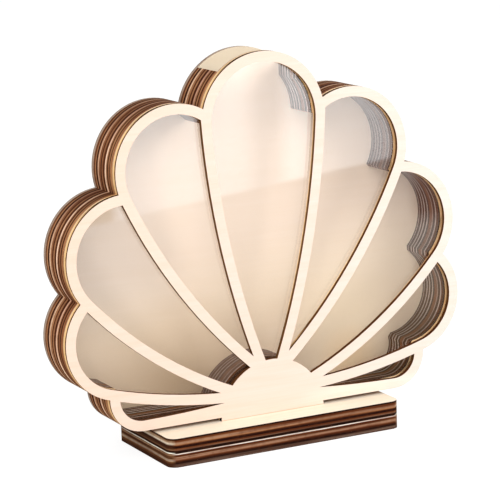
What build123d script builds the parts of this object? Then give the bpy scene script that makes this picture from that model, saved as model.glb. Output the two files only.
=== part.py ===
from build123d import *
from math import atan2, cos, degrees, radians, sin, sqrt
import os

# Scallop-shell display case, standing on a rectangular base.
# X runs to the right seen from the front, Y runs to the back and Z up.
# The origin is the middle of the base's underside.
# All the wood is laser-cut from one thickness of sheet and glued up in layers.

# ---- stock ----
sheet = 3.0                  # thickness of every plywood sheet
pane_thickness = 2.0         # clear sheet behind the front frame

# ---- base ----
base_width = 161.0
base_depth = 77.0
base_corner = 6.0            # rounding of the four upright corners
base_layers = 6

# ---- case ----
ring_blocks = 3              # the ring is glued up from these, one behind the other
block_layers = 3             # sheets glued up in each of them
case_setback = 19.3          # face of the front frame behind the front edge of the base
skirt_lift = 2.4             # gap between the lowest lobes and the base
border = 6.4                 # width of the front frame's edge and of the ring's wall
hub_radius = 36.0            # half disc that the ribs spring from
hub_sink = 1.6               # centre of the half disc below the top of the base
cusp_trim = 2.4              # cut off the tips between the lobes inside the ring
slot_width = 56.0            # drop slot at the top of the middle lobe

# Lobes from the middle one outwards, the same on both sides.
# Angles are measured from the vertical at the middle of the base's top.
lobe_radius = (42.2, 39.8, 39.3, 36.3)
lobe_reach = (226.0, 210.3, 183.8, 153.3)
lobe_angle = (0.0, 20.7, 40.9, 59.2)
corner_radius = 21.7         # lowest lobe, level with the skirt
corner_reach = 109.9         # how far it stands out from the middle

# Lower edge of each window, from the middle one outwards.
# It leaves the half disc at an angle from the vertical and runs smoothly into its lobe.
# A rib lies under each of them but the last, which the skirt follows.
edge_angle = (6.6, 12.4, 50.1, 57.6, 69.0)
edge_radius = (536.0, 344.0, 264.0, 351.0, 700.0)
rib_width = 6.5

# ---- screws that hold the case on its base ----
screw_spacing = 36.0
screw_diameter = 3.5
screw_length = 38.0
screw_head = 7.0
screw_head_height = 2.1
cross_width = 0.9
cross_length = 4.4
cross_depth = 1.0

# ---- drawing ----
tip_tolerance = 0.01         # how near a lobe's arc a corner counts as lying on it

# ---- what follows from these sizes ----
base_height = base_layers * sheet
front_face = case_setback - base_depth / 2
pane_front = front_face + sheet
ring_front = pane_front + pane_thickness
block_depth = block_layers * sheet
ring_depth = ring_blocks * block_depth
back_front = ring_front + ring_depth
case_height = lobe_reach[0]
case_reach = 2 * case_height         # more than the case measures in any direction


def lobe_circles():
    """Centre and radius of the lobes on the right, from the middle outwards."""
    circles = []
    for radius, reach, turn in zip(lobe_radius, lobe_reach, lobe_angle):
        angle = radians(turn)
        centre = Vector(sin(angle), cos(angle)) * (reach - radius)
        circles.append((centre, radius))
    corner = Vector(corner_reach - corner_radius, skirt_lift + corner_radius)
    circles.append((corner, corner_radius))
    return circles


def crossing(first, first_radius, second, second_radius):
    """The point where two circles cross, on the right seen from the first centre."""
    run = second - first
    gap = run.length
    along = (first_radius**2 - second_radius**2 + gap**2) / (2 * gap)
    aside = sqrt(first_radius**2 - along**2)
    step = run.normalized()
    return first + step * along + Vector(step.Y, -step.X) * aside


def disc(centre, radius):
    """A round face."""
    return Pos(centre.X, centre.Y) * Circle(radius)


def above(height):
    """Everything in the drawing above a height."""
    return Pos(0, height + case_reach / 2) * Rectangle(2 * case_reach, case_reach)


def both_sides(face):
    """A face and its mirror image on the left."""
    return face + mirror(face, Plane.YZ)


circles = lobe_circles()
hub_centre = Vector(0, -hub_sink)
hub = disc(hub_centre, hub_radius)
right_half = Pos(case_reach / 2, 0) * Rectangle(case_reach, 2 * case_reach)


def lobed_face(inset):
    """The shell's outline moved inwards, flat along its lower edge."""
    floor = skirt_lift + inset
    centres = [centre for centre, radius in circles]
    corner_foot = Vector(centres[-1].X, floor)
    middle_foot = Vector(0, floor)
    half = make_face(Polyline(*centres, corner_foot, middle_foot, close=True))
    for centre, radius in circles:
        half += disc(centre, radius - inset)
    return both_sides(half & right_half) & above(floor)


def outline_face():
    """The full shell with its half disc, flat where it stands on the base."""
    return lobed_face(0) + (hub & above(0))


def edge_centre(index):
    """Centre of a window's lower edge: an arc through its root that is tangent to the lobe."""
    angle = radians(edge_angle[index])
    root = hub_centre + Vector(sin(angle), cos(angle)) * hub_radius
    centre, radius = circles[index]
    reach = edge_radius[index]
    inner_radius = radius - border
    return crossing(centre, reach - inner_radius, root, reach)


def window_face(index):
    """A window on the right: its lobe, and the wedge from there to the half disc."""
    centre, radius = circles[index]
    edge = edge_centre(index)
    outward = centre - edge
    lean = degrees(atan2(outward.Y, outward.X))
    hub_side = Pos(0, -case_reach / 2) * Rectangle(2 * case_reach, case_reach)
    wedge = disc(edge, edge_radius[index]) & (Pos(centre.X, centre.Y) * Rot(0, 0, lean) * hub_side)
    face = disc(centre, radius - border) + wedge
    if index > 0:
        face -= disc(edge_centre(index - 1), edge_radius[index - 1] + rib_width)
    return (face & right_half) - hub


def windows_face():
    """The nine windows between the border, the half disc and the ribs."""
    right = window_face(0)
    for index in range(1, len(edge_angle)):
        right += window_face(index)
    return both_sides(right)


def cavity_face():
    """The space inside the ring, with the tips between its lobes cut blunt."""
    face = lobed_face(border) - hub
    tips = [vertex for vertex in face.vertices() if is_tip(vertex)]
    return chamfer(tips, cusp_trim)


def is_tip(vertex):
    """Whether a corner lies on two neighbouring lobes of the inner wall."""
    touching = 0
    for centre, radius in circles:
        reach = (Vector(abs(vertex.X), vertex.Y) - centre).length
        if abs(reach - (radius - border)) < tip_tolerance:
            touching += 1
    return touching == 2


def upright(face, front, thickness):
    """A sheet cut to a face drawn from the front, standing on the base."""
    plane = Plane(origin=(0, front + thickness, base_height), x_dir=(1, 0, 0), z_dir=(0, -1, 0))
    return extrude(plane * face, thickness)


def screw_at(side):
    """Place of a screw: under the middle of the ring's half disc."""
    return Pos(side * screw_spacing / 2, ring_front + ring_depth / 2, 0)


def screw_body():
    """A countersunk wood screw, driven up through the base into the half disc."""
    foot = (Align.CENTER, Align.CENTER, Align.MIN)
    shank = Cylinder(screw_diameter / 2, screw_length, align=foot)
    head = Cone(screw_head / 2, screw_diameter / 2, screw_head_height, align=foot)
    return shank + head


def cross_recess():
    """The cross that a screwdriver fits, in the underside of the head."""
    bar = Box(cross_length, cross_width, 2 * cross_depth)
    return bar + Rot(0, 0, 90) * bar


# ---- build every piece ----
screw_holes = screw_at(-1) * screw_body() + screw_at(1) * screw_body()
screw = screw_body() - cross_recess()

slot_cut = Pos(0, case_height) * Rectangle(slot_width, 2 * lobe_radius[0])
ring_face = outline_face() - cavity_face() - slot_cut

pieces = {
    "front_frame": upright(outline_face() - windows_face(), front_face, sheet),
    "window_pane": upright(outline_face(), pane_front, pane_thickness),
    "back_panel": upright(outline_face(), back_front, sheet),
    "base_screws": Compound(children=[screw_at(-1) * screw, screw_at(1) * screw]),
}
for block in range(ring_blocks):
    ring = upright(ring_face, ring_front + block * block_depth, block_depth)
    pieces[f"ring_block_{block + 1}"] = ring - screw_holes
for layer in range(base_layers):
    base = extrude(RectangleRounded(base_width, base_depth, base_corner), sheet)
    pieces[f"base_sheet_{layer + 1}"] = Pos(0, 0, layer * sheet) * base - screw_holes

os.makedirs("parts", exist_ok=True)
for name, piece in pieces.items():
    export_step(piece, f"parts/{name}.step")
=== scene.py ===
import bpy
from math import cos, radians, sin
from mathutils import Matrix, Vector


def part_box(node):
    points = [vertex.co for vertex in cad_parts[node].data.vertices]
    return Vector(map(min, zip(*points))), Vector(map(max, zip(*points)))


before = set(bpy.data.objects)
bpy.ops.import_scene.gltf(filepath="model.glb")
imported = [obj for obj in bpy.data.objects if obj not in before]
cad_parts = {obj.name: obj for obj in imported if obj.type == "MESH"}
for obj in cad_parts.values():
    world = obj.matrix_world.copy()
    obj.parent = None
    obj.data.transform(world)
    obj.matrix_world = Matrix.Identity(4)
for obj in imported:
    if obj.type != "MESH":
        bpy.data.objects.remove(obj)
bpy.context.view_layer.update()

# Finish, camera and light for a shell-shaped display case.
# Every shape of the case is the CAD's own mesh. Lengths are in metres unless a comment says
# otherwise. X runs to the right seen from the front, Y to the back and Z up.

MM = 0.001

# ---- planes of the sheets along Y, and the top of the base ----
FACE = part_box("front_frame")[0][1]
PANE_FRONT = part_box("window_pane")[0][1]
RING_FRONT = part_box("ring_block_1")[0][1]
RING_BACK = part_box("ring_block_3")[1][1]
BASE_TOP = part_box("base_sheet_6")[1][2]

# ---- marks for telling the cut edges apart ----
HALF_DISC_REACH = 37 * MM    # a little more than the half disc reaches from the middle of its foot
WALL_CENTRE = 42 * MM        # height above the base of a point that the ring's inner wall surrounds


def linear(r, g, b):
    """A colour written as 0 to 255 on the screen, as the renderer wants it."""
    out = []
    for value in (r, g, b):
        v = value / 255
        out.append(v / 12.92 if v <= 0.04045 else ((v + 0.055) / 1.055) ** 2.4)
    return (*out, 1.0)


# ---- veneer on the broad faces ----
WHITE = (1.0, 1.0, 1.0, 1.0)
PALE = linear(224, 204, 190)
WARM = linear(219, 197, 179)
BASE_PALE = linear(243, 228, 208)
BASE_WARM = linear(238, 221, 198)
PANEL = linear(248, 228, 203)
PANEL_WARM = linear(246, 225, 198)
# Painted light for the lower right of the back panel's inner face.
PANEL_PAINTED_LIGHT = linear(255, 236, 207)
PORE = linear(196, 160, 118)
GRAIN = 14                   # about how many times the grain changes in a metre along a streak

# ---- tones of a laser-cut edge, from soot to bare veneer ----
SOOT = linear(26, 10, 5)
MAROON = linear(44, 12, 0)
EMBER = linear(50, 20, 8)
CHAR = linear(56, 22, 8)
OLIVE = linear(58, 38, 10)
# Painted shade on the ring's front face.
COCOA_PAINTED_SHADE = linear(70, 44, 28)
UMBER = linear(72, 35, 16)
RIM_RIGHT = linear(80, 46, 16)
SLATE = linear(84, 62, 52)
STONE = linear(98, 78, 68)
RUST = linear(100, 52, 26)
RIM_MIDDLE = linear(104, 70, 36)
EARTH = linear(104, 72, 54)
TAUPE = linear(136, 98, 76)
ASH = linear(124, 104, 100)
BROWN = linear(138, 88, 56)
CLAY = linear(140, 102, 78)
SIENNA = linear(162, 110, 74)
DUST = linear(148, 112, 92)
AMBER = linear(180, 126, 78)
# Painted highlight on the window rims.
SAND_PAINTED_HIGHLIGHT = linear(206, 160, 116)
TAN = linear(206, 162, 130)
CREAM = linear(236, 196, 166)
GOLD = linear(250, 206, 146)
PEACH = linear(255, 222, 178)
PEARL = linear(222, 204, 194)

# Each list goes from the front sheet backwards, or from the underside up, in millimetres.
FACE_EDGE = [(0.0, OLIVE), (1.0, OLIVE), (1.4, AMBER), (2.0, GOLD), (3.0, GOLD)]
# The pane's edge is gold at the front as painted glow.
PANE_EDGE_WITH_PAINTED_GLOW = [(0.0, GOLD), (0.8, GOLD), (1.3, AMBER), (2.0, BROWN)]
BACK_EDGE = [(0.0, linear(110, 88, 74)), (0.5, linear(166, 142, 124)), (1.8, linear(180, 158, 140)),
             (2.4, linear(130, 108, 90)), (3.0, linear(104, 82, 64))]
RING_EDGE = [(0.0, AMBER), (0.8, SIENNA), (2.7, SIENNA), (3.1, SOOT), (3.7, SOOT), (4.1, BROWN),
             (5.7, SIENNA), (6.2, SOOT), (6.9, SOOT), (7.3, BROWN), (8.5, SIENNA), (8.9, CREAM),
             (10.1, CREAM), (10.5, BROWN), (11.3, UMBER), (13.0, UMBER), (13.6, SIENNA),
             (15.0, BROWN), (15.5, SOOT), (16.1, UMBER), (16.6, BROWN), (18.3, SIENNA),
             (18.8, UMBER), (19.3, TAN), (20.6, TAN), (21.3, RUST), (22.3, SOOT), (23.1, SOOT),
             (23.6, SIENNA), (24.8, SIENNA), (25.5, UMBER), (27.0, BROWN)]
INNER_EDGE = [(0.0, MAROON), (2.0, MAROON), (2.8, RUST), (4.2, RUST), (5.0, PEARL), (5.5, PEARL),
              (5.9, RUST), (6.8, SOOT), (8.0, UMBER), (8.7, DUST), (9.0, PEARL), (9.4, DUST),
              (9.8, BROWN), (12.6, BROWN), (13.0, SOOT), (14.0, SOOT), (15.0, PEARL),
              (15.5, PEARL), (16.0, SOOT), (17.8, UMBER), (18.4, PEARL), (19.0, PEARL),
              (19.5, UMBER), (21.0, UMBER), (21.5, PEARL), (22.0, PEARL), (22.5, UMBER),
              (24.6, UMBER), (25.3, PEARL), (25.8, RUST), (27.0, SOOT)]
BASE_SIDE = [(0.0, STONE), (2.0, SLATE), (2.5, SOOT), (3.8, EMBER), (4.4, RUST), (5.2, TAUPE),
             (6.2, TAUPE), (6.8, UMBER), (7.6, RUST), (7.9, SOOT), (8.1, PEARL), (8.5, PEARL),
             (8.7, SOOT), (10.2, SOOT), (10.6, EARTH), (11.5, RUST), (12.1, SOOT), (13.3, CHAR),
             (14.0, BROWN), (14.6, CLAY), (15.4, CLAY), (16.0, RUST), (16.9, UMBER),
             (17.3, SOOT), (18.0, SOOT)]
BASE_END = [(0.0, UMBER), (1.6, UMBER), (3.4, RUST), (3.8, SIENNA), (4.4, DUST), (5.2, BROWN),
            (5.8, UMBER), (7.0, RUST), (7.6, SIENNA), (8.2, BROWN), (8.5, SOOT), (8.7, CREAM),
            (9.1, CREAM), (9.4, SOOT), (10.6, UMBER), (11.0, BROWN), (11.4, UMBER),
            (13.8, UMBER), (14.6, TAN), (16.2, SIENNA), (17.0, UMBER), (18.0, SOOT)]


class Nodes:
    """A material's node tree, written with short calls."""

    def __init__(self, name):
        self.material = bpy.data.materials.new(name)
        self.material.use_nodes = True
        self.tree = self.material.node_tree
        self.tree.nodes.clear()
        self.out = self.tree.nodes.new("ShaderNodeOutputMaterial")
        self.shader = self.tree.nodes.new("ShaderNodeBsdfPrincipled")
        self.tree.links.new(self.shader.outputs[0], self.out.inputs[0])
        coords = self.tree.nodes.new("ShaderNodeTexCoord")
        self.place = coords.outputs["Object"]
        self.normal = coords.outputs["Normal"]
        self.x, self.y, self.z = self.split(self.place)

    def link(self, source, target):
        if isinstance(source, (int, float, tuple)):
            target.default_value = source
        else:
            self.tree.links.new(source, target)

    def node(self, kind, **settings):
        made = self.tree.nodes.new(kind)
        for key, value in settings.items():
            setattr(made, key, value)
        return made

    def math(self, operation, *values, clamp=False):
        made = self.node("ShaderNodeMath", operation=operation, use_clamp=clamp)
        for index, value in enumerate(values):
            self.link(value, made.inputs[index])
        return made.outputs[0]

    def product(self, first, *others):
        for other in others:
            first = self.math("MULTIPLY", first, other)
        return first

    def vector(self, operation, *values, output="Vector"):
        made = self.node("ShaderNodeVectorMath", operation=operation)
        for index, value in enumerate(values):
            self.link(value, made.inputs[index])
        return made.outputs[output]

    def split(self, vector):
        made = self.node("ShaderNodeSeparateXYZ")
        self.link(vector, made.inputs[0])
        return made.outputs

    def scaled(self, x, y, z, shift=0.0):
        """Object coordinates stretched along each axis."""
        made = self.node("ShaderNodeMapping")
        self.link(self.place, made.inputs["Vector"])
        made.inputs["Scale"].default_value = (x, y, z)
        made.inputs["Location"].default_value = (shift, shift, shift)
        return made.outputs[0]

    def noise(self, vector, detail, rough=0.5, distortion=0.0):
        made = self.node("ShaderNodeTexNoise")
        self.link(vector, made.inputs["Vector"])
        made.inputs["Scale"].default_value = 1.0
        made.inputs["Detail"].default_value = detail
        made.inputs["Roughness"].default_value = rough
        made.inputs["Distortion"].default_value = distortion
        return made.outputs["Fac"]

    def span(self, value, low, high, to_low=0.0, to_high=1.0, smooth=False):
        """A value's way from low to high, held at both ends. Low may be the larger one."""
        made = self.node("ShaderNodeMapRange")
        made.interpolation_type = "SMOOTHSTEP" if smooth else "LINEAR"
        self.link(value, made.inputs["Value"])
        made.inputs["From Min"].default_value = low
        made.inputs["From Max"].default_value = high
        made.inputs["To Min"].default_value = to_low
        made.inputs["To Max"].default_value = to_high
        return made.outputs[0]

    def above_base(self, low, high, to_low=0.0, to_high=1.0):
        """The way between two heights above the base's top, in millimetres."""
        return self.span(self.z, BASE_TOP + low * MM, BASE_TOP + high * MM, to_low, to_high)

    def mix(self, factor, first, second, blend="MIX"):
        made = self.node("ShaderNodeMix", data_type="RGBA", blend_type=blend)
        self.link(factor, made.inputs[0])
        self.link(first, made.inputs[6])
        self.link(second, made.inputs[7])
        return made.outputs[2]

    def tint(self, factor, colour, tone):
        """A colour multiplied by a tone, as far as the factor says."""
        return self.mix(factor, colour, (*tone, 1.0), "MULTIPLY")

    def ramp(self, value, stops):
        made = self.node("ShaderNodeValToRGB")
        elements = made.color_ramp.elements
        elements[0].position, elements[0].color = stops[0]
        elements[1].position, elements[1].color = stops[-1]
        for position, colour in stops[1:-1]:
            elements.new(position).color = colour
        self.link(value, made.inputs[0])
        return made.outputs[0]

    def bands(self, depth, lines):
        """Colour across laminated sheets: (place in mm, colour) from the first to the last."""
        first, last = lines[0][0], lines[-1][0]
        stops = [((place - first) / (last - first), colour) for place, colour in lines]
        return self.ramp(self.span(depth, first * MM, last * MM), stops)

    def bump(self, height, strength, distance):
        made = self.node("ShaderNodeBump")
        self.link(height, made.inputs["Height"])
        made.inputs["Strength"].default_value = strength
        made.inputs["Distance"].default_value = distance
        self.tree.links.new(made.outputs[0], self.shader.inputs["Normal"])

    def set(self, **values):
        for key, value in values.items():
            self.link(value, self.shader.inputs[key.replace("_", " ")])

    def cut_edge(self, axis):
        """1 on the sheet's cut edges and 0 on its two broad faces."""
        return self.span(self.math("ABSOLUTE", self.split(self.normal)[axis]), 0.75, 0.65)

    def facing_out(self, rise):
        """How squarely a cut edge faces away from the point at this rise over the base, -1 to 1."""
        centre = (0.0, 0.0, BASE_TOP + rise)
        away = self.vector("NORMALIZE", self.vector("SUBTRACT", self.place, centre))
        return self.vector("DOT_PRODUCT", away, self.normal, output="Value")

    def on_half_disc(self):
        """1 on the half disc at the shell's foot and 0 beyond it."""
        rise = self.math("SUBTRACT", self.z, BASE_TOP)
        squares = self.math("ADD", self.product(self.x, self.x), self.product(rise, rise))
        return self.math("LESS_THAN", self.math("SQRT", squares), HALF_DISC_REACH)

    def inner_wall(self):
        """1 on the ring's inner wall and on its half disc, 0 on its outer wall."""
        inwards = self.math("LESS_THAN", self.facing_out(WALL_CENTRE), 0.0)
        return self.math("MAXIMUM", inwards, self.on_half_disc())

    def distance(self, x, z):
        """The distance from a point on the back panel's inner face."""
        return self.vector("DISTANCE", self.place, (x, RING_BACK, z), output="Value")


class Plywood(Nodes):
    """Pale veneer on the broad faces and laser-burnt laminations on the cut edges."""

    def __init__(self, name, axis, start, veneer=(PALE, WARM), pore=0.10):
        """The sheets follow each other along the axis, from start on."""
        super().__init__(name)
        self.axis = axis
        self.streaks, pores = self.wood_grain()
        face = self.mix(self.span(self.streaks, 0.36, 0.66), *veneer)
        self.face = self.mix(self.product(pores, pore), face, PORE)
        wave = self.noise(self.scaled(60, 60, 60, 2.0), 2.0)
        wobble = self.product(self.math("SUBTRACT", wave, 0.5), 0.3 * MM)
        along = self.math("SUBTRACT", (self.x, self.y, self.z)[axis], start)
        self.depth = self.math("ADD", along, wobble)

    def wood_grain(self):
        """Streaks along X, as a value round 0.5, and 1 where the veneer's dark pores lie."""
        back, up = (40, 260) if self.axis == 1 else (260, 40)
        broad = self.noise(self.scaled(GRAIN, back, up), 3.0, 0.55, 0.4)
        fine = self.noise(self.scaled(GRAIN * 2.2, back, up * 5, 3.1), 2.0)
        pores = self.noise(self.scaled(GRAIN * 9, back, up * 16, 7.7), 1.0)
        streaks = self.math("ADD", self.product(broad, 0.6), self.product(fine, 0.4))
        return streaks, self.span(pores, 0.66, 0.76)

    def threaded(self, colour, stretch):
        """An edge's colour with thin dark and light threads along the sheets."""
        lines = self.span(self.noise(self.scaled(*stretch, 1.3), 2.0, 0.6), 0.42, 0.58)
        threads = self.mix(lines, (0.74, 0.62, 0.58, 1), (1.34, 1.46, 1.50, 1))
        return self.mix(1.0, colour, threads, "MULTIPLY")

    def finish(self, face, edge):
        """The material, with one colour on the broad faces and one on the cut edges."""
        cut = self.cut_edge(self.axis)
        soot = self.noise(self.scaled(240, 240, 240, 5.0), 4.0, 0.6)
        edge = self.mix(self.span(soot, 0.48, 0.75, 0.0, 0.4), edge, UMBER)
        self.set(Base_Color=self.mix(cut, face, edge), Roughness=self.span(cut, 0, 1, 0.55, 0.8))
        self.set(Specular_IOR_Level=self.span(cut, 0, 1, 0.3, 0.05))
        height = self.math("ADD", self.product(self.streaks, 0.5), self.product(soot, 0.5))
        self.bump(height, 0.12, 0.4 * MM)
        return self.material


def front_edge(n):
    """Dark and gold round the outline, browner on the windows' rims with a painted highlight on their
    gold back part, and black at the foot.
    """
    upward = n.split(n.normal)[2]
    right = n.span(n.x, 0.03, 0.12)
    outline = n.mix(n.span(upward, 0.6, 0.9), n.bands(n.depth, FACE_EDGE), OLIVE)
    rim = n.mix(right, RIM_MIDDLE, RIM_RIGHT)
    rim = n.mix(n.span(upward, 0.2, 0.8, 0.0, 0.6), rim, UMBER)
    # Painted highlight: the rims' back part turns gold in the middle and to the right, higher up,
    # standing in for a lit line.
    back = n.product(n.span(n.depth, 2.2 * MM, 2.7 * MM), n.span(n.x, -0.02, 0.02))
    back = n.product(back, n.above_base(50, 70))
    rim = n.mix(back, rim, n.mix(right, GOLD, SAND_PAINTED_HIGHLIGHT))
    outer = n.span(n.facing_out(0.0), 0.28, 0.36)
    outer = n.math("SUBTRACT", outer, n.on_half_disc(), clamp=True)
    return n.mix(n.above_base(2.7, 3.2), SOOT, n.mix(outer, rim, outline))


def front_face(n):
    """Veneer with painted light: tinted cooler towards the right and warmer to the left, and lighter
    low at the right, with an amber foot line.
    """
    # Painted light: a cool tint to the right and a warm one to the left.
    face = n.tint(n.span(n.x, 0.0, 0.13), n.face, (0.98, 1.08, 1.14))
    face = n.tint(n.span(n.x, -0.02, -0.12), face, (1.0, 0.95, 0.91))
    # Painted light: lighter low at the right.
    painted_low_right = n.product(n.span(n.x, 0.02, 0.05), n.above_base(13, 8))
    face = n.tint(painted_low_right, face, (1.08, 1.13, 1.12))
    return n.mix(n.above_base(0.2, 0.5, 0.6, 0.0), face, AMBER)


def front_material():
    n = Plywood("pale_front_ply", 1, FACE)
    return n.finish(front_face(n), front_edge(n))


def ring_outside(n):
    """Stripes and threads, darker where the wall faces up: painted shade."""
    edge = n.threaded(n.bands(n.depth, RING_EDGE), (GRAIN, 380, GRAIN))
    # Painted shade: the wall is darker where it faces up.
    return n.tint(n.span(n.split(n.normal)[2], 0.55, 0.95), edge, (0.50, 0.45, 0.42))


def ring_inside(n):
    """Fine stripes, plain grey-lilac at the upper right as a painted reflection and on the half disc,
    with painted shade where the wall faces up at the right.
    """
    edge = n.tint(1.0, n.bands(n.depth, INNER_EDGE), (0.86, 0.86, 0.88))
    # Painted reflection: a plain grey-lilac tone at the upper right. The half disc's back part takes
    # the same tone.
    high = n.product(n.span(n.z, 0.12, 0.15, 0.0, 0.45), n.span(n.x, 0.05, 0.07))
    disc = n.product(n.on_half_disc(), n.span(n.depth, 4 * MM, 6 * MM, 0.0, 0.6))
    edge = n.mix(n.math("MAXIMUM", high, disc), edge, ASH)
    # Painted shade: darker where the wall faces up at the right.
    upward = n.span(n.split(n.normal)[2], 0.2, 0.8, 0.0, 0.5)
    return n.mix(n.product(upward, n.span(n.x, 0.04, 0.09)), edge, SOOT)


def ring_material():
    n = Plywood("burnt_ring_ply", 1, RING_FRONT, veneer=(PEACH, GOLD))
    # Painted shade: the ring's front face is dark low at the right and on the half disc.
    low = n.product(n.above_base(26, 14), n.span(n.x, 0.088, 0.080))
    face = n.mix(n.math("MAXIMUM", low, n.on_half_disc()), n.face, COCOA_PAINTED_SHADE)
    return n.finish(face, n.mix(n.inner_wall(), ring_outside(n), ring_inside(n)))


def base_material():
    """One set of stripes along the base's front and back, and another on its two ends."""
    n = Plywood("base_ply", 2, 0.0, veneer=(BASE_PALE, BASE_WARM))
    sides = n.tint(1.0, n.bands(n.depth, BASE_SIDE), (0.88, 0.86, 0.82))
    ends = n.tint(1.0, n.bands(n.depth, BASE_END), (0.86, 1.16, 1.40))
    sideways = n.math("ABSOLUTE", n.split(n.normal)[0])
    edge = n.mix(n.span(sideways, 0.35, 0.75), sides, ends)
    return n.finish(n.face, n.threaded(edge, (GRAIN, GRAIN, 700)))


def panel_painted_shade_and_light(n):
    """Painted shade and light: darker above, beside the half disc, at the left, low at the right and
    behind the drop slot, and lighter at the lower right.
    """
    # Painted shade: darker towards the top.
    level = n.math("SUBTRACT", n.z, n.product(n.x, 0.15))
    face = n.tint(n.span(level, 0.085, 0.125), n.face, (0.93, 0.91, 0.95))
    # Painted light: lighter at the lower right, beside the half disc.
    light = n.product(n.span(n.x, 0.03, 0.06), n.span(n.x, 0.11, 0.08), n.span(n.z, 0.10, 0.07))
    face = n.mix(light, face, PANEL_PAINTED_LIGHT)
    # Painted shade beside the half disc, at the left, low at the right and behind the drop slot.
    corner = n.distance(-0.045, BASE_TOP + 5 * MM)
    face = n.tint(n.span(corner, 0.075, 0.015), face, (0.74, 0.68, 0.60))
    left = n.distance(-0.090, 0.112)
    face = n.tint(n.span(left, 0.05, 0.01), face, (0.90, 0.92, 0.95))
    painted_low_right = n.distance(0.074, 0.034)
    face = n.tint(n.span(painted_low_right, 0.026, 0.008), face, (1.0, 0.91, 0.80))
    lobe = n.distance(0.016, BASE_TOP + 180 * MM)
    slot = n.product(n.span(lobe, 0.037, 0.041), n.span(n.z, 0.220, 0.228))
    return n.tint(slot, face, (0.70, 0.73, 0.68))


def panel_material():
    n = Plywood("pale_back_ply", 1, RING_BACK, veneer=(PANEL, PANEL_WARM), pore=0.03)
    frontward = n.span(n.split(n.normal)[1], -0.4, -0.6)
    face = n.mix(frontward, n.face, panel_painted_shade_and_light(n))
    return n.finish(face, n.bands(n.depth, BACK_EDGE))


PANE_MIRRORS = (0.14, 0.11)  # share of the light it mirrors, met from outside it and from inside


def pane_material():
    """A clear sheet whose broad faces mirror a little and let the other light through."""
    n = Nodes("clear_sheet_mirror")
    cut = n.cut_edge(1)
    depth = n.math("SUBTRACT", n.y, PANE_FRONT)
    from_inside = n.node("ShaderNodeNewGeometry").outputs["Backfacing"]
    mirrored = n.span(from_inside, 0, 1, *PANE_MIRRORS)
    # The cut edge is opaque and gold at the front: painted glow.
    n.set(Base_Color=n.mix(cut, WHITE, n.bands(depth, PANE_EDGE_WITH_PAINTED_GLOW)),
          Alpha=n.math("MAXIMUM", mirrored, cut),
          Metallic=n.span(cut, 0, 1, 1.0, 0.0),
          Roughness=n.span(cut, 0, 1, 0.015, 0.35))
    return n.material


def steel_material():
    """Zinc-plated steel with fine specks."""
    n = Nodes("zinc_screw")
    speck = n.noise(n.scaled(900, 900, 900), 3.0, 0.6)
    n.set(Base_Color=n.ramp(speck, [(0.3, (0.55, 0.55, 0.54, 1)), (0.7, (0.72, 0.72, 0.70, 1))]),
          Metallic=1.0,
          Roughness=n.span(speck, 0.3, 0.7, 0.28, 0.42))
    n.bump(speck, 0.05, 0.2 * MM)
    return n.material


def dress(node, material):
    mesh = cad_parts[node].data
    mesh.materials.clear()
    mesh.materials.append(material)


ring_ply = ring_material()
base_ply = base_material()
dress("front_frame", front_material())
dress("window_pane", pane_material())
dress("back_panel", panel_material())
dress("base_screws", steel_material())
for index in range(3):
    dress(f"ring_block_{index + 1}", ring_ply)
for index in range(6):
    dress(f"base_sheet_{index + 1}", base_ply)

# ---- camera, where the photograph was taken from ----
CAMERA_PLACE = Vector((-631.2, -1227.1, 398.8)) * MM
YAW, PITCH, ROLL = radians(-27.12), radians(11.49), radians(-1.87)
LENS = 163.12                # focal length in millimetres
SENSOR = 36.0                # width of the camera's picture in millimetres


def add_camera():
    data = bpy.data.cameras.new("camera")
    data.lens = LENS
    data.sensor_width = SENSOR
    data.clip_start = 0.01
    camera = bpy.data.objects.new("camera", data)
    bpy.context.scene.collection.objects.link(camera)
    forward = Vector((-sin(YAW) * cos(PITCH), cos(YAW) * cos(PITCH), -sin(PITCH)))
    right = Vector((cos(YAW), sin(YAW), 0))
    up = right.cross(forward)
    turned_right = right * cos(ROLL) + up * sin(ROLL)
    turned_up = -right * sin(ROLL) + up * cos(ROLL)
    basis = Matrix((turned_right, turned_up, -forward)).transposed().to_4x4()
    camera.matrix_world = Matrix.Translation(CAMERA_PLACE) @ basis
    bpy.context.scene.camera = camera


add_camera()

# ---- stage: floor, world and lamps ----
FLOOR_REACH = 6.0
FLOOR_GLOW = 1.2             # brightness of the floor's own light
GLOW_SHARE = 0.72            # how much of what the eye sees of the floor is that light
WORLD_AS_LIGHT = 0.60
WORLD_AS_SEEN = 1.0
LAMP_TARGET = Vector((0, 0, 0.12))

# ---- the floor as mirrors show it: a toned near part, and a bright one past a slanted line ----
MIRRORED_EYE = (CAMERA_PLACE.x, 2 * PANE_FRONT - CAMERA_PLACE.y)
LINE_PLACE = 0.664           # how far in front of the origin the line lies
LINE_SLANT = 0.39            # how much farther for each metre to the right
WINE = (0.12, 0.02, 0.0, 1.0)
NEAR_TONES = [(0.0, (0.08, 0.05, 0.03, 1)), (0.1, (0.16, 0.11, 0.06, 1)),
              (0.19, (0.25, 0.17, 0.10, 1)), (0.37, (0.48, 0.38, 0.28, 1)),
              (0.6, (0.72, 0.66, 0.58, 1)), (1.0, (1.0, 0.94, 0.87, 1))]
FAR_STREAKS = [(0.0, 0.97), (0.24, 1.02), (0.34, 0.98), (0.44, 1.05), (0.50, 1.05), (0.56, 1.0),
               (0.63, 0.72), (0.68, 0.72), (0.74, 1.15), (0.80, 1.2), (0.86, 1.0), (1.0, 1.0)]
FAR_TAN = (0.85, 0.68, 0.48, 1.0)


def grey(value):
    return (value, value, value, 1.0)


def pick_rays(n, *kinds):
    """1 for the named kinds of light path and 0 for the others."""
    path = n.node("ShaderNodeLightPath")
    value = path.outputs[kinds[0]]
    for kind in kinds[1:]:
        value = n.math("MAXIMUM", value, path.outputs[kind])
    return value


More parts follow.
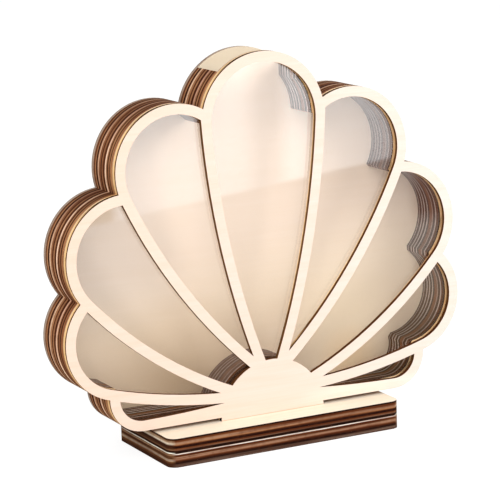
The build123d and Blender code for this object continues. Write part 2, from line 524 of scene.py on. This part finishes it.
def near_part(n, forwards, column):
    """Brighter farther from the case and dark red at the right."""
    colour = n.ramp(n.span(forwards, 0.05, 0.75), NEAR_TONES)
    colour = n.mix(n.span(n.x, 0.30, 0.55, 0.0, 0.40), colour, WINE)
    corner = n.product(n.span(column, 0.606, 0.614), n.span(forwards, 0.55, 0.62))
    return n.mix(n.product(corner, 0.8), colour, WINE)


def far_part(n, beyond, column):
    """Bright, with streaks that look upright in the picture, and tan at the left."""
    colour = n.mix(n.span(beyond, 0.0, 0.5), grey(1.3), grey(1.7))
    stops = [(place, grey(value)) for place, value in FAR_STREAKS]
    colour = n.mix(1.0, colour, n.ramp(n.span(column, 0.42, 0.58), stops), "MULTIPLY")
    return n.mix(n.span(column, 0.436, 0.442), FAR_TAN, colour)


def mirrored_floor(n):
    """Both parts. A column is one direction sideways, seen from where the camera is mirrored."""
    forwards = n.math("MULTIPLY", n.y, -1.0)
    line = n.math("ADD", n.product(n.x, LINE_SLANT), LINE_PLACE)
    beyond = n.math("SUBTRACT", forwards, line)
    sideways = n.math("SUBTRACT", n.x, MIRRORED_EYE[0])
    column = n.math("DIVIDE", sideways, n.math("SUBTRACT", MIRRORED_EYE[1], n.y))
    near = near_part(n, forwards, column)
    far = far_part(n, beyond, column)
    return n.mix(n.span(beyond, -0.012, 0.012, smooth=True), near, far)


def floor_material():
    """Pale under the lamps, partly glowing for the eye, and in two parts for mirrors."""
    n = Nodes("pale_floor")
    n.set(Base_Color=(0.80, 0.79, 0.78, 1.0), Roughness=0.9)
    glow = n.node("ShaderNodeEmission")
    glow.inputs["Strength"].default_value = FLOOR_GLOW
    seen = n.node("ShaderNodeMixShader")
    share = n.product(pick_rays(n, "Is Camera Ray", "Is Transmission Ray"), GLOW_SHARE)
    n.link(share, seen.inputs[0])
    n.link(n.shader.outputs[0], seen.inputs[1])
    n.link(glow.outputs[0], seen.inputs[2])
    mirrored = n.node("ShaderNodeEmission")
    n.link(mirrored_floor(n), mirrored.inputs["Color"])
    last = n.node("ShaderNodeMixShader")
    n.link(pick_rays(n, "Is Glossy Ray"), last.inputs[0])
    n.link(seen.outputs[0], last.inputs[1])
    n.link(mirrored.outputs[0], last.inputs[2])
    n.link(last.outputs[0], n.out.inputs[0])
    return n.material


def add_floor():
    mesh = bpy.data.meshes.new("floor")
    r = FLOOR_REACH
    mesh.from_pydata([(-r, -r, 0), (r, -r, 0), (r, r, 0), (-r, r, 0)], [], [(0, 1, 2, 3)])
    floor = bpy.data.objects.new("floor", mesh)
    bpy.context.scene.collection.objects.link(floor)
    mesh.materials.append(floor_material())


def add_world():
    """White, at full strength for the eye and for mirrors and weaker as a light."""
    world = bpy.data.worlds.new("studio")
    bpy.context.scene.world = world
    world.use_nodes = True
    tree = world.node_tree
    tree.nodes.clear()
    out = tree.nodes.new("ShaderNodeOutputWorld")
    sky = tree.nodes.new("ShaderNodeBackground")
    sky.inputs["Color"].default_value = WHITE
    path = tree.nodes.new("ShaderNodeLightPath")
    looked_at = tree.nodes.new("ShaderNodeMath")
    looked_at.operation = "MAXIMUM"
    strength = tree.nodes.new("ShaderNodeMapRange")
    strength.inputs["To Min"].default_value = WORLD_AS_LIGHT
    strength.inputs["To Max"].default_value = WORLD_AS_SEEN
    tree.links.new(path.outputs["Is Camera Ray"], looked_at.inputs[0])
    tree.links.new(path.outputs["Is Glossy Ray"], looked_at.inputs[1])
    tree.links.new(looked_at.outputs[0], strength.inputs["Value"])
    tree.links.new(strength.outputs[0], sky.inputs["Strength"])
    tree.links.new(sky.outputs[0], out.inputs[0])


def add_lamp(name, place, size, power):
    """A square lamp that is turned towards the middle of the case."""
    data = bpy.data.lights.new(name, "AREA")
    data.shape = "SQUARE"
    data.size = size
    data.energy = power
    lamp = bpy.data.objects.new(name, data)
    bpy.context.scene.collection.objects.link(lamp)
    lamp.location = Vector(place)
    lamp.rotation_euler = (LAMP_TARGET - Vector(place)).to_track_quat("-Z", "Y").to_euler()


add_floor()
add_world()
add_lamp("key", place=(1.7, -1.5, 1.3), size=1.4, power=38)
add_lamp("fill", place=(-1.1, -1.7, 1.4), size=2.0, power=40)
bpy.context.scene.view_settings.view_transform = "Standard"
